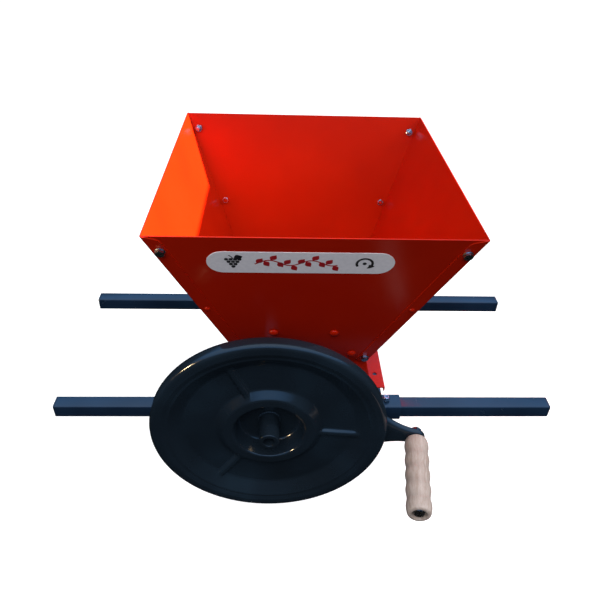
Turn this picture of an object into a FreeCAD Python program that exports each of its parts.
import FreeCAD, Part
import Sketcher
import math
import os
import re

# Grape crusher with a crank flywheel, carried across a vat by four telescoping arms.
# Millimetres. +X runs along the arms, +Y runs from the flywheel to the gears, +Z is up.
# The origin is the middle of the frame, level with the underside of the arms.

V = FreeCAD.Vector

doc = FreeCAD.newDocument("grape_crusher")
sheet = doc.addObject("Spreadsheet::Sheet", "Sizes")

SIZES = [
    ("arm_side", 20, "outside of the square arm tube"),
    ("arm_wall", 2, "wall of the arm tube"),
    ("arm_length", 250, "length of one arm without its cap"),
    ("arm_tip_left", 334, "centre to the left arms' tube ends"),
    ("arm_tip_right", 336, "centre to the right arms' tube ends"),
    ("slide_gap", 0.5, "gap between arm and sleeve, each side"),
    ("sleeve_wall", 2, "wall of the sleeve tube"),
    ("sleeve_length", 262, "length of one sleeve"),
    ("bar_spacing", 238, "front to back distance of the sleeve centre lines"),
    ("cap_plate", 2, "thickness of an arm's end cap"),
    ("cap_plug", 10, "depth of the cap's plug inside the tube"),
    ("cap_gap", 0.1, "gap between plug and tube, each side"),
    ("lock_inset", 20, "lock screw to sleeve end"),
    ("lock_hole", 6, "hole of a lock screw in the sleeve"),
    ("lock_boss", 10, "width across flats of a lock screw's nut"),
    ("lock_boss_rise", 4, "height of a lock screw's nut"),
    ("lock_tip_gap", 0.3, "gap from a lock screw's tip to the arm"),
    ("cross_width", 20, "width of a cross tube"),
    ("cross_depth", 20, "height of a cross tube"),
    ("cross_wall", 2, "wall of a cross tube"),
    ("cross_outer", 107, "centre to the outer face of a cross tube"),
    ("sheet_wall", 1.5, "sheet of the roller box walls"),
    ("plate_wall", 3, "sheet of the roller box end plates"),
    ("box_half_depth", 91, "centre to the outer face of an end plate"),
    ("throat_height", 70.5, "height of the joint of hopper and roller box"),
    ("throat_half_width", 82.5, "half of the hopper's lower opening, along X"),
    ("throat_half_depth", 92.5, "half of the hopper's lower opening, along Y"),
    ("foot_half_width", 93.5, "half width of the roller box at its flanges"),
    ("flange_half_width", 113, "centre to the outer face of a flange's lip"),
    ("flange_half_depth", 95.5, "half length of a flange"),
    ("flange_hole", 6.4, "fixing hole in a flange"),
    ("flange_hole_side", 102, "centre to the fixing holes, along X"),
    ("flange_hole_pitch", 137, "distance of a flange's two fixing holes"),
    ("lip_drop", 7, "depth of a flange's folded lip"),
    ("skirt_half_width", 85, "half width of an end plate's skirt"),
    ("skirt_bottom", 4, "height of the skirt's lower edge"),
    ("rim_height", 312, "height of the hopper's rim"),
    ("rim_half_width", 172.5, "half of the hopper's mouth, along X"),
    ("rim_half_depth", 177.5, "half of the hopper's mouth, along Y"),
    ("hopper_sheet", 1.2, "sheet of the hopper, measured level"),
    ("seam_width", 17, "width of the seam flanges on the side panels"),
    ("seam_notch", 6.5, "height cut from a seam flange at the rim"),
    ("seam_bolt_inset", 9, "seam bolt to the panel's edge, along X"),
    ("tongue_width", 136, "width of the end plate's tongue inside the hopper"),
    ("tongue_top_front", 152, "height of the front tongue's upper edge"),
    ("tongue_top_back", 132, "height of the back tongue's upper edge"),
    ("tongue_gap", 0.2, "gap between the tongue and the hopper's panel"),
    ("tongue_hole", 8.2, "hole of a tongue bolt in the tongue"),
    ("tongue_high_inset", 10, "tongue's upper edge to its upper bolts"),
    ("tongue_low_rise", 22, "throat to the tongue's lower bolts"),
    ("tongue_low_bolt", 59.6, "middle to the lower tongue bolts, along X"),
    ("tongue_high_pitch", 75, "distance of the two upper tongue bolts"),
    ("seam_hole", 6.2, "hole of a seam or tongue bolt in a panel"),
    ("seam_low", 12.5, "throat to the lowest seam bolts"),
    ("seam_share", 0.505, "height of the middle seam screws, as a share of the hopper's"),
    ("seam_high", 21, "rim to the highest seam bolts"),
    ("foot_gap", 0.05, "gap from an end plate's foot to the sleeve"),
    ("label_length", 195, "length of the label plate"),
    ("label_width", 34.5, "width of the label plate"),
    ("label_sheet", 0.6, "thickness of the label plate"),
    ("label_shift", -14, "middle of the label from the hopper's middle"),
    ("label_height", 275, "height of the label's middle"),
    ("shaft_height", 42.8, "height of both shafts"),
    ("drive_side", -47.1, "drive shaft from the middle, along X"),
    ("gear_module", 4, "module of the gears"),
    ("gear_teeth", 21, "teeth of each gear"),
    ("gear_width", 12, "face width of the gears"),
    ("gear_gap", 3.5, "gap from the sleeve to the gears"),
    ("gear_backlash", 0.4, "play between the gears' teeth"),
    ("roller_radius", 38.5, "outside radius of the rollers"),
    ("roller_end_gap", 3, "gap from a roller's end to the end plate"),
    ("flute_radius", 6, "radius of a roller's flutes"),
    ("flute_depth", 4.5, "depth of a roller's flutes"),
    ("flute_count", 12, "flutes on each roller"),
    ("shaft_radius", 10, "radius of both shafts"),
    ("nose_radius", 7, "radius of the drive shaft inside the hub"),
    ("shaft_past", 3, "the driven shaft's front end past its bearing"),
    ("running_gap", 0.05, "radial clearance of a running fit"),
    ("seat_gap", 0.02, "radial clearance of a keyed or pinned seat"),
    ("bush_radius", 13, "outside radius of the bearing bushes"),
    ("housing_radius", 15, "radius of a bearing housing's boss"),
    ("housing_flange", 24.5, "radius of a bearing housing's flange"),
    ("housing_depth", 12, "depth of a bearing housing"),
    ("housing_plate", 5, "thickness of a bearing housing's flange"),
    ("housing_bolt_circle", 19.8, "radius of the housing's bolt circle"),
    ("housing_hole", 5, "hole of a housing's bolt"),
    ("snap_rise", 4, "radial width of a snap ring"),
    ("snap_wall", 1.2, "thickness of a snap ring"),
    ("snap_gap", 0.2, "gap from a snap ring to its bearing"),
    ("gear_step", 2, "the shafts' step to the gears' rear face"),
    ("seat_step", 1, "radial step of the shafts at the gears"),
    ("key_side", 5, "width of a key"),
    ("key_rise", 2.1, "height of a key above its seat"),
    ("keyway_rise", 2.2, "height of a keyway above its seat"),
    ("key_play", 0.02, "gap on each side of a key"),
    ("gear_washer_radius", 13, "radius of the washer on a gear"),
    ("gear_washer_wall", 2.5, "thickness of the washer on a gear"),
    ("gear_screw_flats", 10, "width across flats of a gear's screw"),
    ("gear_screw_head", 4, "head height of a gear's screw"),
    ("wheel_radius", 146, "outside radius of the flywheel"),
    ("rim_front", 197.2, "centre of the frame to the wheel rim's front"),
    ("rim_thickness", 21.2, "thickness of the wheel's rim"),
    ("rim_band", 21, "radial width of the wheel's rim"),
    ("web_front", 184, "centre of the frame to the front of the web"),
    ("web_wall", 6, "thickness of the web"),
    ("web_radius", 109, "outside radius of the flat web"),
    ("ring_front", 193, "centre of the frame to the ring's crest"),
    ("ring_radius", 66, "outside radius of the raised ring"),
    ("ring_slope", 10, "run of the ring's outer slope"),
    ("ring_back_low", 3, "ring's outer foot to its hollow's foot"),
    ("ring_back_high", 12, "ring's outer foot to its hollow's floor"),
    ("crest_run", 2, "run of the bevel inside the ring's crest"),
    ("crest_drop", 1, "drop of the bevel inside the ring's crest"),
    ("cup_radius", 44, "radius of the cup's mouth"),
    ("cup_floor", 170, "centre of the frame to the cup's floor"),
    ("cup_floor_radius", 38, "radius of the cup's floor"),
    ("rib_width", 9.5, "width of a rib on the web"),
    ("rib_rise", 4, "height of a rib on the web"),
    ("rib_root", 0.5, "depth of a rib's foot in the web"),
    ("rib_inner", 4, "reach of a rib into the ring"),
    ("rib_outer", 2, "reach of a rib beyond the flat web"),
    ("wheel_angle", 5.8, "turn of the crank ear below level, degrees"),
    ("hub_radius", 12.5, "outside radius of the hub tube"),
    ("hub_front", 207.7, "centre of the frame to the hub tube's front"),
    ("hub_length", 56, "length of the hub tube"),
    ("pin_radius", 2.5, "radius of the pin through hub and shaft"),
    ("pin_inset", 7, "pin to the rear end of the hub tube"),
    ("nose_gap", 0.1, "gap from the hub tube to the shaft's shoulder"),
    ("hub_bevel", 1, "bevel of the hub tube's front edge"),
    ("weld_gap", 0.01, "radial gap from the hub tube to the wheel"),
    ("nose_recess", 14, "drive shaft's end to the hub tube's front"),
    ("crank_radius", 187.7, "wheel centre to the handle's foot"),
    ("ear_front", 187, "centre of the frame to the ear's front at the handle"),
    ("ear_wall", 7, "thickness of the crank ear"),
    ("ear_overlap", 6, "reach of the ear into the rim"),
    ("ear_tip_radius", 11, "radius of the ear's tip"),
    ("ear_root_width", 44, "width of the ear at the rim"),
    ("handle_tilt", 9, "lean of the handle towards the axle, degrees"),
    ("handle_bolt", 8, "shank of the handle bolt"),
    ("handle_flats", 13, "width across flats of the handle's bolt and nut"),
    ("handle_head", 5.3, "height of the handle bolt's head"),
    ("handle_nut_height", 6.5, "height of the handle's nut"),
    ("handle_past_washer", 9, "handle bolt's end to the rear washer"),
    ("grip_gap", 0.3, "end play of the grip"),
    ("grip_length", 108, "length of the wooden grip"),
    ("grip_radius", 15, "radius of the grip's bulges"),
    ("grip_waist", 13.7, "radius of the grip's finger grooves"),
    ("grip_bulges", 5, "bulges along the grip"),
    ("grip_recess_radius", 9, "radius of the recess in the grip's end"),
    ("grip_recess_depth", 7, "depth of the recess in the grip's end"),
    ("washer_wall", 1.6, "thickness of the handle's washers"),
    ("washer_radius", 9, "outside radius of the handle's washers"),
    ("cover_gap", 3, "gap from the gears to their cover"),
    ("cover_wall", 1.5, "sheet of the gear cover"),
    ("cover_hole", 6.4, "hole of a cover bolt in the cover"),
    ("cover_thread", 6, "hole of a cover bolt in the sleeve"),
    ("cover_screw_past", 0.2, "cover bolt's end past the sleeve's wall"),
    ("spacer_radius", 5, "outside radius of a cover spacer"),
    ("spacer_bore", 3, "inside radius of a cover spacer"),
    ("deflector_gap", 0.2, "gap round the deflector"),
    ("deflector_drop", 1.5, "throat to the deflector's bend"),
    ("deflector_skirt", 13.5, "throat to the deflector's lower edge"),
    ("deflector_slant", 2.9, "run of the deflector's skirt"),
    ("deflector_sheet", 1.5, "sheet of the deflector's skirt"),
    ("deflector_bend", 1.4, "inside of the deflector's bend, along X"),
    ("deflector_bend_drop", 4, "throat to the inside of the deflector's bend"),
    ("deflector_toe", 0.5, "blunt toe of the deflector"),
    ("scraper_gap", 1.5, "gap from the driven roller to the deflector"),
]

for row, (alias, value, note) in enumerate(SIZES, 1):
    sheet.set("A%d" % row, alias)
    sheet.set("B%d" % row, str(value))
    sheet.setAlias("B%d" % row, alias)
    sheet.set("C%d" % row, note)
doc.recompute()

NAMES = {alias for alias, value, note in SIZES}
LEAST_CUT = 1e-3
PAST = 1.0
parts = []


def size(alias):
    """The value of one cell of the sheet."""
    return float(getattr(sheet, alias))


def cells(text):
    """An expression in which every alias points at its cell."""
    def cell(word):
        alias = word.group()
        return "Sizes." + alias if alias in NAMES else alias

    return re.sub(r"[a-z_]+", cell, text)


def keep(piece, name):
    """Mark an object as a finished sub-part of that name."""
    piece.Label = name
    parts.append(piece)
    return piece


def bind(piece, **sizes_of):
    """Bind properties of an object to expressions of the sheet."""
    for prop, text in sizes_of.items():
        piece.setExpression(prop, cells(text))


def put(piece, place, turn=None):
    """Give an object its place, as three expressions, and its turn."""
    if turn is not None:
        piece.Placement = FreeCAD.Placement(V(0, 0, 0), turn)
    for axis, text in zip("xyz", place):
        piece.setExpression("Placement.Base." + axis, cells(text))


def box(name, lengths, place):
    """A block from its three lengths and its lowest corner."""
    block = doc.addObject("Part::Box", name)
    bind(block, Length=lengths[0], Width=lengths[1], Height=lengths[2])
    put(block, place)
    return block


ALONG_Y = FreeCAD.Rotation(V(1, 0, 0), -90)
UPRIGHT = FreeCAD.Rotation()


def rod(name, radius, length, place, turn=ALONG_Y):
    """A cylinder from its radius, its length and the centre of its first end."""
    cylinder = doc.addObject("Part::Cylinder", name)
    bind(cylinder, Radius=radius, Height=length)
    put(cylinder, place, turn)
    return cylinder


def cut(name, base, tools):
    """The base less one or more tools."""
    tool = tools[0]
    if len(tools) > 1:
        tool = doc.addObject("Part::MultiFuse", name + "_tools")
        tool.Shapes = tools
    result = doc.addObject("Part::Cut", name)
    result.Base = base
    result.Tool = tool
    return result


def fuse(name, pieces):
    """One solid from touching pieces."""
    result = doc.addObject("Part::MultiFuse", name)
    result.Shapes = pieces
    return result


def plane(body, role):
    """One of a body's own origin planes."""
    return [item for item in body.Origin.OriginFeatures if item.Role == role][0]


def sketch(body, name, role="XY_Plane", offset=None):
    """An empty sketch on one of the body's origin planes."""
    drawing = body.newObject("Sketcher::SketchObject", name)
    drawing.AttachmentSupport = (plane(body, role), [""])
    drawing.MapMode = "FlatFace"
    if offset is not None:
        drawing.AttachmentOffset = offset
    return drawing


def evaluate(text):
    """The number that an expression of the sheet gives."""
    return float(sheet.evalExpression(cells(text)))


def hold(drawing, geometry, end, place):
    """Hold one point of a sketch at two expressions of the sheet."""
    for kind, text in zip(("DistanceX", "DistanceY"), place):
        rule = Sketcher.Constraint(kind, -1, 1, geometry, end, evaluate(text))
        index = drawing.addConstraint(rule)
        drawing.setExpression("Constraints[%d]" % index, cells(text))


def polygon(drawing, points):
    """A closed outline of straight lines through points given as expressions."""
    corners = [V(evaluate(across), evaluate(up), 0) for across, up in points]
    first = drawing.GeometryCount
    count = len(points)
    for index in range(count):
        line = Part.LineSegment(corners[index], corners[(index + 1) % count])
        drawing.addGeometry(line, False)
    for index in range(count):
        follower = first + (index + 1) % count
        drawing.addConstraint(Sketcher.Constraint("Coincident", first + index, 2, follower, 1))
    for index, place in enumerate(points):
        hold(drawing, first + index, 1, place)


def ring(drawing, place, radius):
    """A circle from its centre and radius, given as expressions."""
    centre = V(evaluate(place[0]), evaluate(place[1]), 0)
    index = drawing.addGeometry(Part.Circle(centre, V(0, 0, 1), evaluate(radius)), False)
    hold(drawing, index, 3, place)
    rule = drawing.addConstraint(Sketcher.Constraint("Radius", index, evaluate(radius)))
    drawing.setExpression("Constraints[%d]" % rule, cells(radius))


def new_body(name):
    """An empty body, kept as a sub-part."""
    return keep(doc.addObject("PartDesign::Body", name), name)


def pad(body, drawing, length, midplane=False, backwards=False):
    """Raise a sketch by a length."""
    feature = body.newObject("PartDesign::Pad", drawing.Name + "_pad")
    feature.Profile = drawing
    feature.Midplane = midplane
    feature.Reversed = backwards
    bind(feature, Length=length)
    return feature


def pocket(body, drawing, length, midplane=False, backwards=False):
    """Cut a sketch into the body, and check that it cuts."""
    doc.recompute()
    before = body.Shape.Volume
    feature = body.newObject("PartDesign::Pocket", drawing.Name + "_pocket")
    feature.Profile = drawing
    feature.Midplane = midplane
    feature.Reversed = backwards
    bind(feature, Length=length)
    doc.recompute()
    if body.Shape.Volume > before - LEAST_CUT:
        raise ValueError("nothing was cut by " + drawing.Name)
    return feature


def turned(name, points, place, turn=UPRIGHT, body=None):
    """A turned piece: an outline of (radius, height) pairs about the body's Y axis."""
    if body is None:
        body = new_body(name)
    drawing = sketch(body, name + "_profile")
    polygon(drawing, points)
    feature = body.newObject("PartDesign::Revolution", name + "_turning")
    feature.Profile = drawing
    feature.ReferenceAxis = (drawing, ["V_Axis"])
    feature.Angle = 360
    put(body, place, turn)
    return body


def repeat(body, feature, count):
    """Repeat a feature evenly about the body's Y axis."""
    pattern = body.newObject("PartDesign::PolarPattern", feature.Name + "_repeat")
    pattern.Originals = [feature]
    pattern.Axis = ([item for item in body.Origin.OriginFeatures if item.Role == "Y_Axis"][0], [""])
    pattern.Angle = 360
    bind(pattern, Occurrences=count)
    body.Tip = pattern
    return pattern


def shaped(name, shape):
    """A sub-part whose shape is worked out below."""
    piece = doc.addObject("Part::Feature", name)
    piece.Shape = shape
    return keep(piece, name)


# ---- frame: two sleeves, two cross tubes, four arms ----------------------------------------

SLEEVE = "(arm_side + 2*slide_gap + 2*sleeve_wall)"
SLEEVE_TOP = "(arm_side + slide_gap + sleeve_wall)"
SLEEVE_BOTTOM = "(0 - slide_gap - sleeve_wall)"
SLEEVE_INNER = "(bar_spacing/2 - %s/2)" % SLEEVE


def tube(name, side, wall, length, place):
    """A square tube along X."""
    outer = box(name + "_outside", (length, side, side), place)
    inside = "(%s - 2*%s)" % (side, wall)
    start = "%s - %s" % (place[0], PAST)
    hollow_place = (start, "%s + %s" % (place[1], wall), "%s + %s" % (place[2], wall))
    hollow = box(name + "_inside", ("%s + 2*%s" % (length, PAST), inside, inside), hollow_place)
    return cut(name, outer, [hollow])


def lock_hole(name, across, along):
    """The threaded hole of a lock screw through a sleeve's top wall."""
    start = "%s - 1.5*sleeve_wall" % SLEEVE_TOP
    return rod(name, "lock_hole/2", "2*sleeve_wall", (across, along, start), UPRIGHT)


def bolt_hole(name, across, height):
    """A hole along Y through the back sleeve's back wall, for a cover bolt."""
    start = "bar_spacing/2 + %s/2 - 1.5*sleeve_wall" % SLEEVE
    return rod(name, "cover_thread/2", "2*sleeve_wall", (across, start, height))


# The cover's bolts, across and up.
COVER_BOLTS = [("0 - 90", "3"), ("0 - 5", "6"), ("80", "3")]

for side_name, sign in (("front", "-"), ("back", "")):
    middle = "(%s1*bar_spacing/2)" % sign
    start = "(0 - sleeve_length/2)"
    name = side_name + "_sleeve"
    blank = tube(name + "_tube", SLEEVE, "sleeve_wall", "sleeve_length",
                 (start, "%s - %s/2" % (middle, SLEEVE), SLEEVE_BOTTOM))
    holes = [lock_hole(name + "_left_hole", "lock_inset - sleeve_length/2", middle),
             lock_hole(name + "_right_hole", "sleeve_length/2 - lock_inset", middle)]
    if side_name == "back":
        holes += [bolt_hole("cover_hole_%d" % index, *spot) for index, spot in enumerate(COVER_BOLTS)]
    keep(cut(name, blank, holes), name)

for side_name, corner in (("left", "(0 - cross_outer)"), ("right", "(cross_outer - cross_width)")):
    name = side_name + "_cross_tube"
    depth = "2*%s" % SLEEVE_INNER
    low = "(%s - cross_depth)" % SLEEVE_TOP
    outer = box(name + "_outside", ("cross_width", depth, "cross_depth"),
                (corner, "0 - %s" % SLEEVE_INNER, low))
    hollow = box(name + "_inside",
                 ("cross_width - 2*cross_wall", "%s + 2*%s" % (depth, PAST), "cross_depth - 2*cross_wall"),
                 (corner + " + cross_wall", "0 - %s - %s" % (SLEEVE_INNER, PAST), low + " + cross_wall"))
    hole_place = [("flange_hole_side*%d" % (1 if side_name == "right" else -1), along,
                   "%s - 1.5*cross_wall" % SLEEVE_TOP)
                  for along in ("0 - flange_hole_pitch/2", "flange_hole_pitch/2", "0")]
    drills = [rod("%s_hole_%d" % (name, index), "flange_hole/2", "2*cross_wall", spot, UPRIGHT)
              for index, spot in enumerate(hole_place)]
    keep(cut(name, outer, [hollow] + drills), name)

for row_name, sign in (("front", "-"), ("back", "")):
    for side_name in ("left", "right"):
        tip = "arm_tip_" + side_name
        low_y = "%s1*bar_spacing/2 - arm_side/2" % sign
        start = "0 - " + tip if side_name == "left" else tip + " - arm_length"
        name = "%s_%s_arm" % (row_name, side_name)
        keep(tube(name, "arm_side", "arm_wall", "arm_length", (start, low_y, "0")), name)
        plate_start = "0 - %s - cap_plate" % tip if side_name == "left" else tip
        plug_start = "0 - " + tip if side_name == "left" else tip + " - cap_plug"
        inset = "(arm_wall + cap_gap)"
        plug_side = "(arm_side - 2*%s)" % inset
        plate = box(name + "_cap_plate", ("cap_plate", "arm_side", "arm_side"), (plate_start, low_y, "0"))
        plug = box(name + "_cap_plug", ("cap_plug", plug_side, plug_side),
                   (plug_start, "%s + %s" % (low_y, inset), inset))
        cap_name = "%s_%s_arm_cap" % (row_name, side_name)
        keep(fuse(cap_name, [plate, plug]), cap_name)


# ---- fasteners ------------------------------------------------------------------------------

# Each screw or bolt: shank, length, width across flats, height of the head, washer.
SEAM_BOLT = (6, 9, 9, 3.5, 0.8)
PAINTED_SCREW = (5, 9, 6, 2, 0)
FLANGE_BOLT = (6, 12, 10, 4, 1.6)
TONGUE_BOLT = (6, 12, 10, 4, 0)
BEARING_BOLT = (4.9, 9.7, 8, 2.8, 0)
# Each nut: shank, width across flats, height.
SEAM_NUT = (6, 9, 4)
PAINTED_SCREW_NUT = (5, 8, 3.5)
TONGUE_NUT = (6, 10, 4)
BEARING_NUT = (4.9, 8, 2)
# The screws whose length follows from other pieces: shank, width across flats, head, washer.
LOCK_SCREW = (5.9, 8, 4, 0)
COVER_BOLT = (5.9, 10, 4, 1.2)
WASHER_SHARE = 0.62
THREAD_GAP = 0.02


def hexagon(flats, height):
    """A six-sided prism on the Z axis."""
    radius = flats / math.sqrt(3)
    turns = [math.pi * index / 3 for index in range(7)]
    corners = [V(radius * math.cos(turn), radius * math.sin(turn), 0) for turn in turns]
    return Part.Face(Part.makePolygon(corners)).extrude(V(0, 0, height))


def bolt(shank, length, flats, head, washer=0.0):
    """A bolt along +Z: its head, and a washer under it, lie below zero, its shank above."""
    body = Part.makeCylinder(shank / 2, length + washer, V(0, 0, -washer))
    top = hexagon(flats, head)
    top.translate(V(0, 0, -washer - head))
    body = body.fuse(top)
    if washer > 0:
        body = body.fuse(Part.makeCylinder(WASHER_SHARE * flats, washer, V(0, 0, -washer)))
    return body.removeSplitter()


def nut(shank, flats, height):
    """A nut on +Z, from zero up."""
    return hexagon(flats, height).cut(Part.makeCylinder(shank / 2 + THREAD_GAP, height))


def facing(direction):
    """The turn that takes +Z to a direction."""
    return FreeCAD.Rotation(V(0, 0, 1), direction)


def group(name, shape, places):
    """Copies of one shape at several places, kept as one sub-part."""
    copies = []
    for position, direction in places:
        copy = shape.copy()
        copy.Placement = FreeCAD.Placement(position, facing(direction))
        copies.append(copy)
    return shaped(name, Part.makeCompound(copies))


def bore(position, direction, radius, reach):
    """A drill through a sheet: a cylinder that reaches both ways from a point."""
    start = position - direction * reach
    return Part.makeCylinder(radius, 2 * reach, start, direction)


# ---- hopper: four panels bolted along their seams -------------------------------------------

throat_z = size("throat_height")
rim_z = size("rim_height")
sheet_t = size("hopper_sheet")


def frustum(extra_x, extra_y):
    """The hopper's outer form, moved out by extra_x on its sides and extra_y front and back."""
    rings = []
    for height, half_x, half_y in ((throat_z, size("throat_half_width"), size("throat_half_depth")),
                                   (rim_z, size("rim_half_width"), size("rim_half_depth"))):
        half_x += extra_x
        half_y += extra_y
        rings.append([V(-half_x, -half_y, height), V(half_x, -half_y, height),
                      V(half_x, half_y, height), V(-half_x, half_y, height)])
    low, high = rings
    loops = [low, high]
    for index in range(4):
        follower = (index + 1) % 4
        loops.append([low[index], low[follower], high[follower], high[index]])
    faces = [Part.Face(Part.makePolygon(loop + [loop[0]])) for loop in loops]
    return Part.Solid(Part.Shell(faces))


def half_space(axis, sign):
    """A large block on one side of the hopper's middle."""
    reach = 2 * rim_z
    corner = V(-reach, -reach, -reach)
    lengths = [2 * reach, 2 * reach, 2 * reach]
    lengths[axis] = reach
    if sign > 0:
        corner[axis] = 0
    return Part.makeBox(lengths[0], lengths[1], lengths[2], corner)


rise = rim_z - throat_z
lean_y = (size("rim_half_depth") - size("throat_half_depth")) / rise
lean_x = (size("rim_half_width") - size("throat_half_width")) / rise
FAR = 40.0
DRILL_REACH = 6.0
seam_hole = size("seam_hole") / 2


def panel_out(sign):
    """The outward normal of the front (-1) or back (+1) panel."""
    return V(0, sign, -lean_y).normalize()


def on_panel(across, height, sign, layers=0):
    """A point on the outer face of the front or back panel, some layers of sheet out."""
    depth = size("throat_half_depth") + lean_y * (height - throat_z) + layers * sheet_t
    return V(across, sign * depth, height)


def seam_spot(height, sign, side):
    """A seam bolt's place on the seam flange."""
    across = size("throat_half_width") + lean_x * (height - throat_z) - size("seam_bolt_inset")
    return on_panel(side * across, height, sign, 1)


seam_levels = [throat_z + size("seam_low"), throat_z + size("seam_share") * rise,
               rim_z - size("seam_high")]
shaft_gap = size("gear_module") * size("gear_teeth")
driven_x = size("drive_side") + shaft_gap
pair_x = (size("drive_side") + driven_x) / 2
tongue_spots = {}
for sign, alias in ((-1, "tongue_top_front"), (1, "tongue_top_back")):
    high = size(alias) - size("tongue_high_inset")
    low = throat_z + size("tongue_low_rise")
    tongue_spots[sign] = [(pair_x + side * size("tongue_high_pitch") / 2, high) for side in (-1, 1)]
    tongue_spots[sign] += [(side * size("tongue_low_bolt"), low) for side in (-1, 1)]

walls_front_back = frustum(-sheet_t, 0).cut(frustum(FAR, -sheet_t))
walls_sides = frustum(0, sheet_t).cut(frustum(-sheet_t, FAR))
seams = frustum(0, sheet_t).cut(frustum(FAR, 0)).cut(frustum(-size("seam_width"), FAR))
NOTCH_SHARE = 1.3
notch_drop = size("seam_notch")
notch_run = NOTCH_SHARE * size("seam_width")
for side in (-1, 1):
    edge = side * size("rim_half_width")
    corners = [V(edge, -2 * rim_z, rim_z), V(edge - side * notch_run, -2 * rim_z, rim_z - notch_drop),
               V(edge - side * notch_run, -2 * rim_z, rim_z + PAST), V(edge, -2 * rim_z, rim_z)]
    seams = seams.cut(Part.Face(Part.makePolygon(corners)).extrude(V(0, 4 * rim_z, 0)))

for name, sign in (("hopper_front_panel", -1), ("hopper_back_panel", 1)):
    panel = walls_front_back.common(half_space(1, sign))
    for height in seam_levels:
        for side in (-1, 1):
            spot = seam_spot(height, sign, side)
            panel = panel.cut(bore(spot, panel_out(sign), seam_hole, DRILL_REACH))
    for across, height in tongue_spots[sign]:
        spot = on_panel(across, height, sign)
        panel = panel.cut(bore(spot, panel_out(sign), seam_hole, DRILL_REACH))
    shaped(name, panel)

for name, side in (("hopper_left_panel", -1), ("hopper_right_panel", 1)):
    panel = walls_sides.fuse(seams).common(half_space(0, side)).removeSplitter()
    for height in seam_levels:
        for sign in (-1, 1):
            spot = seam_spot(height, sign, side)
            panel = panel.cut(bore(spot, panel_out(sign), seam_hole, DRILL_REACH))
    shaped(name, panel)

upper_lower = [(seam_spot(height, sign, side), panel_out(sign) * -1)
               for height in (seam_levels[0], seam_levels[2]) for sign in (-1, 1) for side in (-1, 1)]
middle_row = [(seam_spot(seam_levels[1], sign, side), panel_out(sign) * -1)
              for sign in (-1, 1) for side in (-1, 1)]


def behind(places, depth):
    """The same places, moved along their direction."""
    return [(position + direction * depth, direction) for position, direction in places]


sheet_true = sheet_t * math.cos(math.atan(lean_y))
group("seam_bolts", bolt(*SEAM_BOLT), upper_lower)
group("seam_nuts", nut(*SEAM_NUT), behind(upper_lower, 2 * sheet_true))
group("painted_seam_screws", bolt(*PAINTED_SCREW), middle_row)
group("painted_seam_nuts", nut(*PAINTED_SCREW_NUT), behind(middle_row, 2 * sheet_true))

label_half = size("label_width") / 2
label_run = size("label_length") / 2 - label_half
label_face = Part.makeBox(2 * label_run, 2 * label_half, size("label_sheet"), V(-label_run, -label_half, 0))
for end in (-1, 1):
    label_face = label_face.fuse(Part.makeCylinder(label_half, size("label_sheet"), V(end * label_run, 0, 0)))
label_face = label_face.removeSplitter()
label = shaped("label_plate", label_face)
label_up = V(0, -lean_y, 1).normalize()
label_turn = FreeCAD.Rotation(V(1, 0, 0), label_up, panel_out(-1), "ZXY")
label.Placement = FreeCAD.Placement(on_panel(size("label_shift"), size("label_height"), -1), label_turn)


# ---- roller box: two end plates and two side walls with flanges -------------------------------

SKIRT = "skirt_half_width"
BORE_SPOTS = [("drive_side", "shaft_height"), ("(drive_side + gear_module*gear_teeth)", "shaft_height")]
bolt_turns = [30, 150, 270]


def housing_bolts(reach):
    """The bolt places of all four bearing housings, on a plane y = reach."""
    places = []
    for across in (size("drive_side"), driven_x):
        for turn in bolt_turns:
            angle = math.radians(turn)
            arm = size("housing_bolt_circle")
            height = size("shaft_height") + arm * math.sin(angle)
            places.append(V(across + arm * math.cos(angle), reach, height))
    return places


FOOT = "(%s + foot_gap)" % SLEEVE_TOP

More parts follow.
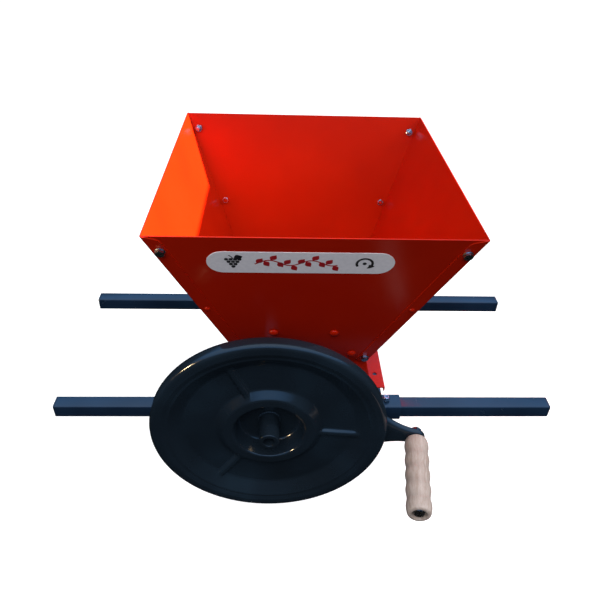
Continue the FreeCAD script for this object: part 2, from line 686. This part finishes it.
for name, sign in (("front_end_plate", -1), ("back_end_plate", 1)):
    body = new_body(name)
    outline = sketch(body, name + "_outline", "XZ_Plane")
    polygon(outline, [("0 - throat_half_width + hopper_sheet", "throat_height"),
                      ("0 - foot_half_width", "%s + sheet_wall" % SLEEVE_TOP),
                      ("0 - foot_half_width", FOOT), ("0 - " + SKIRT, FOOT),
                      ("0 - " + SKIRT, "skirt_bottom"), (SKIRT, "skirt_bottom"),
                      (SKIRT, FOOT), ("foot_half_width", FOOT),
                      ("foot_half_width", "%s + sheet_wall" % SLEEVE_TOP),
                      ("throat_half_width - hopper_sheet", "throat_height")])
    for spot in BORE_SPOTS:
        ring(outline, spot, "bush_radius")
    for turn in bolt_turns:
        for spot in BORE_SPOTS:
            across = "%s + housing_bolt_circle*cos(%d)" % (spot[0], turn)
            height = "%s + housing_bolt_circle*sin(%d)" % (spot[1], turn)
            ring(outline, (across, height), "housing_hole/2")
    outline.AttachmentOffset = FreeCAD.Placement(V(0, 0, -sign * size("box_half_depth")), UPRIGHT)
    pad(body, outline, "plate_wall", backwards=sign < 0)
    slant = sketch(body, name + "_tongue", "YZ_Plane")
    lean = "((rim_half_depth - throat_half_depth)/(rim_height - throat_height))"
    face = "(throat_half_depth - hopper_sheet - tongue_gap)"
    sign_text = "%d*" % sign
    tongue_top = "tongue_top_front" if sign < 0 else "tongue_top_back"
    top_out = "(%s + %s*(%s - throat_height))" % (face, lean, tongue_top)
    below = "throat_height - %s" % PAST
    polygon(slant, [(sign_text + "box_half_depth", below),
                    (sign_text + face, "throat_height"),
                    (sign_text + top_out, tongue_top),
                    (sign_text + "(%s - plate_wall)" % top_out, tongue_top),
                    (sign_text + "(%s - plate_wall)" % face, "throat_height"),
                    (sign_text + "(box_half_depth - plate_wall)", below)])
    pad(body, slant, "tongue_width", midplane=True)
    holes = body.newObject("Sketcher::SketchObject", name + "_tongue_holes")
    holes.AttachmentSupport = (plane(body, "XZ_Plane"), [""])
    holes.MapMode = "FlatFace"
    beyond = V(0, 0, -sign * 2 * size("box_half_depth"))
    holes.AttachmentOffset = FreeCAD.Placement(beyond, UPRIGHT)
    for across, height in tongue_spots[sign]:
        ring(holes, ("%r" % across, "%r" % height), "tongue_hole/2")
    pocket(body, holes, "1.2*box_half_depth", backwards=sign > 0)

for name, side in (("left_box_wall", -1), ("right_box_wall", 1)):
    body = new_body(name)
    profile = sketch(body, name + "_profile", "XZ_Plane")
    text = "%d*" % side
    top = SLEEVE_TOP
    polygon(profile, [(text + "(throat_half_width - sheet_wall)", "throat_height"),
                      (text + "throat_half_width", "throat_height"),
                      (text + "foot_half_width", "%s + sheet_wall" % top),
                      (text + "(foot_half_width + %s)" % PAST, "%s + sheet_wall" % top),
                      (text + "(foot_half_width + %s)" % PAST, top),
                      (text + "(foot_half_width - sheet_wall)", top)])
    pad(body, profile, "2*(box_half_depth - plate_wall)", midplane=True)
    flange = sketch(body, name + "_flange", "XZ_Plane")
    polygon(flange, [(text + "foot_half_width", "%s + sheet_wall" % top),
                     (text + "flange_half_width", "%s + sheet_wall" % top),
                     (text + "flange_half_width", "%s + sheet_wall - lip_drop" % top),
                     (text + "(flange_half_width - sheet_wall)", "%s + sheet_wall - lip_drop" % top),
                     (text + "(flange_half_width - sheet_wall)", top),
                     (text + "foot_half_width", top)])
    pad(body, flange, "2*flange_half_depth", midplane=True)
    drilled = sketch(body, name + "_holes", "XY_Plane")
    for along in ("0 - flange_hole_pitch/2", "flange_hole_pitch/2", "0"):
        ring(drilled, (text + "flange_hole_side", along), "flange_hole/2")
    drilled.AttachmentOffset = FreeCAD.Placement(V(0, 0, 2 * size("arm_side")), UPRIGHT)
    pocket(body, drilled, "2*arm_side")

flange_top = evaluate("%s + sheet_wall" % SLEEVE_TOP)
flange_places = [(V(side * size("flange_hole_side"), 0, flange_top), V(0, 0, -1)) for side in (-1, 1)]
group("flange_bolts", bolt(*FLANGE_BOLT), flange_places)

tongue_places = [(on_panel(across, height, sign), panel_out(sign) * -1)
                 for sign in (-1, 1) for across, height in tongue_spots[sign]]
group("tongue_bolts", bolt(*TONGUE_BOLT), tongue_places)
tongue_layers = sheet_t + size("tongue_gap") + size("plate_wall") + size("seat_gap")
tongue_depth = tongue_layers * math.cos(math.atan(lean_y))
group("tongue_nuts", nut(*TONGUE_NUT), behind(tongue_places, tongue_depth))

lock_x = size("sleeve_length") / 2 - size("lock_inset")
sleeve_top = evaluate(SLEEVE_TOP)
boss_rise = size("lock_boss_rise")
lock_y = size("bar_spacing") / 2
lock_seats = [V(side * lock_x, sign * lock_y, sleeve_top) for sign in (-1, 1) for side in (-1, 1)]
group("lock_nuts", nut(size("lock_hole"), size("lock_boss"), boss_rise),
      [(spot, V(0, 0, 1)) for spot in lock_seats])
lock_reach = boss_rise + sleeve_top - size("arm_side") - size("lock_tip_gap")
group("lock_screws", bolt(LOCK_SCREW[0], lock_reach, *LOCK_SCREW[1:]),
      [(spot + V(0, 0, boss_rise), V(0, 0, -1)) for spot in lock_seats])


# ---- shafts, bearings, rollers and gears ------------------------------------------------------

GEAR_START = "(bar_spacing/2 + %s/2 + gear_gap)" % SLEEVE
GEAR_END = "(%s + gear_width)" % GEAR_START
GEAR_SEAT = "(shaft_radius - seat_step)"
GEAR_SHOULDER = "(%s - gear_step)" % GEAR_START
NOSE_SHOULDER = "(hub_front - hub_length)"
DRIVE = ("drive_side", "0", "shaft_height")
DRIVEN = ("drive_side + gear_module*gear_teeth", "0", "shaft_height")

PIN_PLACE = "(0 - %s - pin_inset)" % NOSE_SHOULDER


def pin_hole(body, name):
    """The hole of the hub's cross pin, through a turned piece."""
    hole = sketch(body, name)
    ring(hole, ("0", PIN_PLACE), "pin_radius + seat_gap")
    pocket(body, hole, "4*hub_radius", midplane=True)


NOSE_END = "(0 - hub_front + nose_recess)"
drive_axle = turned("drive_shaft",
                    [("0", NOSE_END), ("nose_radius", NOSE_END),
                     ("nose_radius", "0 - %s" % NOSE_SHOULDER), ("shaft_radius", "0 - %s" % NOSE_SHOULDER),
                     ("shaft_radius", GEAR_SHOULDER), (GEAR_SEAT, GEAR_SHOULDER),
                     (GEAR_SEAT, GEAR_END), ("0", GEAR_END)], DRIVE)
pin_hole(drive_axle, "shaft_pin_hole")
FRONT_END = "(0 - box_half_depth - housing_depth - shaft_past)"
turned("driven_shaft", [("0", FRONT_END), ("shaft_radius", FRONT_END),
                        ("shaft_radius", GEAR_SHOULDER), (GEAR_SEAT, GEAR_SHOULDER),
                        (GEAR_SEAT, GEAR_END), ("0", GEAR_END)], DRIVEN)

for gear_name, place in (("drive", DRIVE), ("driven", DRIVEN)):
    half = "(box_half_depth - plate_wall - roller_end_gap)"
    name = gear_name + "_roller"
    body = new_body(name)
    disc = sketch(body, name + "_disc", "XZ_Plane")
    ring(disc, ("0", "0"), "roller_radius")
    ring(disc, ("0", "0"), "shaft_radius + seat_gap")
    pad(body, disc, "2*" + half, midplane=True)
    flute = sketch(body, name + "_flute", "XZ_Plane")
    ring(flute, ("roller_radius + flute_radius - flute_depth", "0"), "flute_radius")
    first = pocket(body, flute, "3*" + half, midplane=True)
    repeat(body, first, "flute_count")
    put(body, place)

bush_outline = [("shaft_radius + running_gap", "0"), ("bush_radius - seat_gap", "0"),
                ("bush_radius - seat_gap", "plate_wall + housing_depth"),
                ("shaft_radius + running_gap", "plate_wall + housing_depth")]
housing_outline = [("bush_radius", "0"), ("housing_flange", "0"), ("housing_flange", "housing_plate"),
                   ("housing_radius", "housing_plate"), ("housing_radius", "housing_depth"),
                   ("bush_radius", "housing_depth")]
FLIPPED = FreeCAD.Rotation(V(0, 0, 1), 180)
bushes = []
for row_name, sign in (("front", -1), ("back", 1)):
    for gear_name, place in (("drive", DRIVE), ("driven", DRIVEN)):
        turn = UPRIGHT if sign > 0 else FLIPPED
        bush_place = (place[0], "%d*(box_half_depth - plate_wall)" % sign, place[2])
        bush_name = "%s_%s_bush" % (row_name, gear_name)
        bush = doc.addObject("PartDesign::Body", bush_name)
        bushes.append(turned(bush_name, bush_outline, bush_place, turn, bush))
        housing_place = (place[0], "%d*box_half_depth" % sign, place[2])
        housing = turned("%s_%s_housing" % (row_name, gear_name), housing_outline, housing_place, turn)
        holes = sketch(housing, "%s_%s_housing_holes" % (row_name, gear_name), "XZ_Plane")
        for angle in bolt_turns:
            mirrored = angle if sign > 0 else 180 - angle
            spot = ("housing_bolt_circle*cos(%d)" % mirrored, "housing_bolt_circle*sin(%d)" % mirrored)
            ring(holes, spot, "housing_hole/2")
        pocket(housing, holes, "2*housing_plate")

bush_group = doc.addObject("Part::Compound", "bearing_bushes")
bush_group.Links = bushes
keep(bush_group, "bearing_bushes")

bolt_plane = size("box_half_depth") + size("housing_plate")
group("bearing_bolts", bolt(*BEARING_BOLT),
      [(spot, V(0, -sign, 0)) for sign in (-1, 1) for spot in housing_bolts(sign * bolt_plane)])
inner_plane = size("box_half_depth") - size("plate_wall")
group("bearing_nuts", nut(*BEARING_NUT),
      [(spot, V(0, -sign, 0)) for sign in (-1, 1) for spot in housing_bolts(sign * inner_plane)])

snap_outline = [("shaft_radius + seat_gap", "0"), ("shaft_radius + snap_rise", "0"),
                ("shaft_radius + snap_rise", "snap_wall"), ("shaft_radius + seat_gap", "snap_wall")]
PRESSURE_ANGLE = math.radians(20)
DEDENDUM = 1.25


def tooth_flank(base, root, tip, half_angle, steps=6):
    """Points (radius, angle) up one involute flank, angle measured from the tooth's middle."""
    points = []
    start = max(base, root)
    for index in range(steps + 1):
        radius = start + (tip - start) * index / steps
        roll = math.acos(base / radius)
        points.append((radius, half_angle - (math.tan(roll) - roll)))
    return points


def gear(hole, turn):
    """An involute spur gear along Y, with a tooth pointing at the angle turn."""
    module = size("gear_module")
    teeth = int(size("gear_teeth"))
    pitch = module * teeth / 2
    base = pitch * math.cos(PRESSURE_ANGLE)
    root = pitch - DEDENDUM * module
    tip = pitch + module
    half = math.pi / (2 * teeth) - size("gear_backlash") / (2 * pitch)
    half += math.tan(PRESSURE_ANGLE) - PRESSURE_ANGLE
    flank = tooth_flank(base, root, tip, half)
    outline = []
    for index in range(teeth):
        middle = turn + 2 * math.pi * index / teeth
        rising = [(root, -flank[0][1])] + [(radius, -angle) for radius, angle in flank]
        falling = [(radius, angle) for radius, angle in reversed(flank)] + [(root, flank[0][1])]
        outline += [V(radius * math.cos(middle + angle), 0, radius * math.sin(middle + angle))
                    for radius, angle in rising + falling]
    outline.append(outline[0])
    solid = Part.Face(Part.makePolygon(outline)).extrude(V(0, size("gear_width"), 0))
    return solid.cut(Part.makeCylinder(hole, size("gear_width"), V(0, 0, 0), V(0, 1, 0)))


gear_seat = evaluate(GEAR_SEAT)
gear_start = evaluate(GEAR_START)
gear_width = size("gear_width")
key_side = size("key_side")


def keyed(solid):
    """The gear with its keyway, a slot at the top of the bore."""
    slot = Part.makeBox(key_side, gear_width, gear_seat + size("keyway_rise"), V(-key_side / 2, 0, 0))
    return solid.cut(slot)


half_pitch = math.pi / size("gear_teeth")
drive_gear = shaped("drive_gear", keyed(gear(gear_seat + size("seat_gap"), 0)))
drive_gear.Placement.Base = V(size("drive_side"), gear_start, size("shaft_height"))
driven_gear = shaped("driven_gear", keyed(gear(gear_seat + size("seat_gap"), math.pi + half_pitch)))
driven_gear.Placement.Base = V(driven_x, gear_start, size("shaft_height"))

for name, across in (("drive", size("drive_side")), ("driven", driven_x)):
    key_half = key_side / 2 - size("key_play")
    block = Part.makeBox(2 * key_half, gear_width, gear_seat + size("key_rise"), V(-key_half, 0, 0))
    block = block.cut(Part.makeCylinder(gear_seat, gear_width, V(0, 0, 0), V(0, 1, 0)))
    key = shaped(name + "_gear_key", block)
    key.Placement.Base = V(across, gear_start, size("shaft_height"))
    washer = Part.makeCylinder(size("gear_washer_radius"), size("gear_washer_wall"))
    head = hexagon(size("gear_screw_flats"), size("gear_screw_head"))
    end_bolt = shaped(name + "_gear_bolt", washer.fuse(head.translated(V(0, 0, size("gear_washer_wall")))))
    end_place = V(across, gear_start + gear_width, size("shaft_height"))
    end_bolt.Placement = FreeCAD.Placement(end_place, facing(V(0, 1, 0)))

SNAP_FRONT = "(0 - box_half_depth - housing_depth - snap_wall - snap_gap)"
turned("drive_snap_ring", snap_outline, (DRIVE[0], SNAP_FRONT, DRIVE[2]))
turned("driven_snap_ring", snap_outline, (DRIVEN[0], SNAP_FRONT, DRIVEN[2]))


# ---- deflector and gear cover -----------------------------------------------------------------

body = new_body("grape_deflector")
profile = sketch(body, "deflector_profile", "XZ_Plane")
reach = "(roller_radius + scraper_gap)"
toe_x = "(drive_side + gear_module*gear_teeth + %s*cos(30))" % reach
toe_z = "(shaft_height + %s*sin(30))" % reach
wall_x = "(throat_half_width - sheet_wall - deflector_gap)"
skirt_z = "throat_height - deflector_skirt"
polygon(profile, [(toe_x, toe_z), (wall_x, "throat_height - deflector_drop"),
                  (wall_x + " + deflector_slant", skirt_z),
                  (wall_x + " + deflector_slant - deflector_sheet", skirt_z),
                  (wall_x + " - deflector_bend", "throat_height - deflector_bend_drop"),
                  (toe_x + " + deflector_toe", toe_z + " - deflector_sheet")])
pad(body, profile, "2*(box_half_depth - plate_wall - deflector_gap)", midplane=True)

gear_tip = "(gear_module*gear_teeth/2 + gear_module)"
COVER_LEFT = "(drive_side - %s - cover_gap - cover_wall)" % gear_tip
COVER_RIGHT = "(drive_side + gear_module*gear_teeth + %s + cover_gap + cover_wall)" % gear_tip
COVER_LOW = "(shaft_height - %s - cover_gap - cover_wall)" % gear_tip
COVER_HIGH = "(shaft_height + %s + cover_gap + cover_wall)" % gear_tip
COVER_START = "(bar_spacing/2 + %s/2)" % SLEEVE
COVER_DEPTH = "(gear_gap + gear_width + gear_washer_wall + gear_screw_head + cover_gap + cover_wall)"
outer = box("cover_outside", ("%s - %s" % (COVER_RIGHT, COVER_LEFT), COVER_DEPTH,
                              "%s - %s" % (COVER_HIGH, COVER_LOW)), (COVER_LEFT, COVER_START, COVER_LOW))
hollow = box("cover_inside", ("%s - %s - 2*cover_wall" % (COVER_RIGHT, COVER_LEFT), COVER_DEPTH,
                              "%s - %s - 2*cover_wall" % (COVER_HIGH, COVER_LOW)),
             (COVER_LEFT + " + cover_wall", COVER_START + " - cover_wall", COVER_LOW + " + cover_wall"))
drills = [rod("cover_drill_%d" % index, "cover_hole/2", "2*" + COVER_DEPTH, (across, COVER_START, height))
          for index, (across, height) in enumerate(COVER_BOLTS)]
keep(cut("gear_cover", outer, [hollow] + drills), "gear_cover")

cover_start = evaluate(COVER_START)
cover_depth = evaluate(COVER_DEPTH)
cover_places = [(V(evaluate(across), cover_start + cover_depth, evaluate(height)), V(0, -1, 0))
                for across, height in COVER_BOLTS]
cover_reach = cover_depth + size("sleeve_wall") + size("cover_screw_past")
group("cover_bolts", bolt(COVER_BOLT[0], cover_reach, *COVER_BOLT[1:]), cover_places)
spacer_length = cover_depth - size("cover_wall")
spacer = Part.makeCylinder(size("spacer_radius"), spacer_length)
spacer = spacer.cut(Part.makeCylinder(size("spacer_bore"), spacer_length))
group("cover_spacers", spacer, behind(cover_places, size("cover_wall")))


# ---- flywheel, hub, crank ear and handle --------------------------------------------------------

wheel_turn = FreeCAD.Rotation(V(0, 1, 0), size("wheel_angle"))
RIM_BACK = "(rim_front - rim_thickness)"
RIM_INNER = "(wheel_radius - rim_band)"
# The rim's rounded edges, in steps: inwards from an outline, and back from a face.
OUTER_STEPS = [(7, 0.5), (2, 3.5), (0, 8)]
INNER_STEPS = [(-2, 3), (1, 0.4), (5, 0)]
BACK_STEP = 3
WEB_STEP = 4
inner_edge = [("%s + %s" % (RIM_INNER, outwards), "0 - rim_front + %s" % back)
              for outwards, back in INNER_STEPS]
front_edge = [("wheel_radius - %s" % inwards, "0 - rim_front + %s" % back)
              for inwards, back in OUTER_STEPS]
back_edge = [("wheel_radius - %s" % inwards, "0 - %s - %s" % (RIM_BACK, back))
             for inwards, back in reversed(OUTER_STEPS)]
wheel = turned("flywheel",
               [("hub_radius", "0 - cup_floor"), ("cup_floor_radius", "0 - cup_floor"),
                ("cup_radius", "0 - ring_front + crest_drop"), ("cup_radius + crest_run", "0 - ring_front"),
                ("ring_radius - ring_slope", "0 - ring_front"), ("ring_radius", "0 - web_front"),
                ("web_radius", "0 - web_front")] + inner_edge + front_edge + back_edge +
               [("%s + %s" % (RIM_INNER, BACK_STEP), "0 - " + RIM_BACK),
                ("web_radius + %s" % WEB_STEP, "0 - web_front + web_wall"),
                ("ring_radius - ring_back_low", "0 - web_front + web_wall"),
                ("ring_radius - ring_back_high", "0 - ring_front + web_wall"),
                ("cup_radius + web_wall", "0 - ring_front + web_wall"),
                ("cup_floor_radius + web_wall", "0 - cup_floor + web_wall"),
                ("hub_radius", "0 - cup_floor + web_wall")], DRIVE, wheel_turn)
rib = sketch(wheel, "wheel_rib")
polygon(rib, [("ring_radius - rib_inner", "0 - web_front + rib_root"),
              ("ring_radius - rib_inner", "0 - web_front - rib_rise"),
              ("web_radius + rib_outer", "0 - web_front - rib_rise"),
              ("web_radius + rib_outer", "0 - web_front + rib_root")])
rib_pad = pad(wheel, rib, "rib_width", midplane=True)
doc.recompute()
repeat(wheel, rib_pad, "3")
tilt = math.radians(size("handle_tilt"))
inward = V(math.sin(tilt), math.cos(tilt), 0)
outward = V(math.cos(tilt), -math.sin(tilt), 0)
ear_turn = FreeCAD.Rotation(outward, inward.cross(outward), inward, "ZXY")
ear_base = V(size("crank_radius"), -size("ear_front"), 0)
ear_place = FreeCAD.Placement(ear_base, ear_turn)
ear = sketch(wheel, "crank_ear", offset=ear_place)
root_x = "(0 - crank_radius + wheel_radius - ear_overlap)"
polygon(ear, [(root_x, "0 - ear_root_width/2"), ("0", "0 - ear_tip_radius"), ("0", "ear_tip_radius"),
              (root_x, "ear_root_width/2")])
pad(wheel, ear, "ear_wall")
tip = sketch(wheel, "crank_ear_tip", offset=ear_place)
ring(tip, ("0", "0"), "ear_tip_radius")
pad(wheel, tip, "ear_wall")
eye = sketch(wheel, "crank_ear_hole", offset=ear_place)
ring(eye, ("0", "0"), "handle_bolt/2 + seat_gap")
pocket(wheel, eye, "3*ear_wall", midplane=True)

HUB_END = "0 - %s - nose_gap" % NOSE_SHOULDER
hub = turned("hub_tube",
             [("nose_radius + seat_gap", "0 - hub_front"), ("hub_radius - hub_bevel", "0 - hub_front"),
              ("hub_radius - weld_gap", "0 - hub_front + hub_bevel"), ("hub_radius - weld_gap", HUB_END),
              ("nose_radius + seat_gap", HUB_END)], DRIVE)
keep(rod("hub_pin", "pin_radius", "2*hub_radius + 2*%s" % PAST,
         (DRIVE[0], PIN_PLACE, "shaft_height - hub_radius - %s" % PAST), UPRIGHT), "hub_pin")

pin_hole(hub, "hub_pin_hole")
wheel_centre = V(size("drive_side"), 0, size("shaft_height"))
handle_out = wheel_turn.multVec(inward * -1)
foot = wheel_centre + wheel_turn.multVec(ear_base)


def along_handle(distance):
    """A point on the handle's axis, measured outwards from the ear's front face."""
    return foot + handle_out * distance


washer_t = size("washer_wall")
bolt_r = size("handle_bolt") / 2
washer = Part.makeCylinder(size("washer_radius"), washer_t)
washer = washer.cut(Part.makeCylinder(bolt_r + size("seat_gap"), washer_t))
group("handle_washers", washer, [(along_handle(0), handle_out),
                                 (along_handle(-size("ear_wall") - washer_t), handle_out)])
handle_flats = size("handle_flats")
group("handle_nut", nut(2 * bolt_r, handle_flats, size("handle_nut_height")),
      [(along_handle(-size("ear_wall") - washer_t), handle_out * -1)])
grip_foot = washer_t + size("grip_gap")
head_seat = grip_foot + size("grip_length") - size("grip_recess_depth") + size("grip_gap")
shank = head_seat + size("ear_wall") + washer_t + size("handle_past_washer")
group("handle_bolt", bolt(2 * bolt_r, shank, handle_flats, size("handle_head")),
      [(along_handle(head_seat), handle_out * -1)])

# The grip's rounded ends, in steps: inwards from its bulges, and in from the end.
END_ROUND = (1.3, 2.5)
FOOT_FACE = 4.5
END_FACE = 4
inner = "(handle_bolt/2 + running_gap)"
grip_points = [(inner, "0"), ("grip_radius - %s" % FOOT_FACE, "0"),
               ("grip_radius - %s" % END_ROUND[0], "%s" % END_ROUND[1])]
steps = 2 * int(size("grip_bulges"))
for index in range(1, steps):
    radius = "grip_radius" if index % 2 else "grip_waist"
    grip_points.append((radius, "grip_length*%d/%d" % (index, steps)))
grip_points += [("grip_radius - %s" % END_ROUND[0], "grip_length - %s" % END_ROUND[1]),
                ("grip_radius - %s" % END_FACE, "grip_length"), ("grip_recess_radius", "grip_length"),
                ("grip_recess_radius", "grip_length - grip_recess_depth"),
                (inner, "grip_length - grip_recess_depth")]
turned("handle_grip", grip_points, ["%r" % value for value in along_handle(grip_foot)],
       FreeCAD.Rotation(V(0, 1, 0), handle_out))


# ---- check every piece, then write the parts ----------------------------------------------------

doc.recompute()

for item in doc.Objects:
    if "Invalid" in item.State or "Error" in item.State:
        raise ValueError("failed: " + item.Name)
for piece in parts:
    if piece.Shape.isNull() or not piece.Shape.isValid():
        raise ValueError("bad shape: " + piece.Label)

os.makedirs("parts", exist_ok=True)
for piece in parts:
    piece.Shape.exportStep("parts/%s.step" % piece.Label)
    reach = piece.Shape.BoundBox
    print("%-22s %2d solids  x %7.1f %7.1f  y %7.1f %7.1f  z %7.1f %7.1f" %
          (piece.Label, len(piece.Shape.Solids), reach.XMin, reach.XMax, reach.YMin, reach.YMax,
           reach.ZMin, reach.ZMax))
print("handle axis point", tuple(round(value, 3) for value in foot))
print("handle axis", tuple(round(value, 5) for value in handle_out))
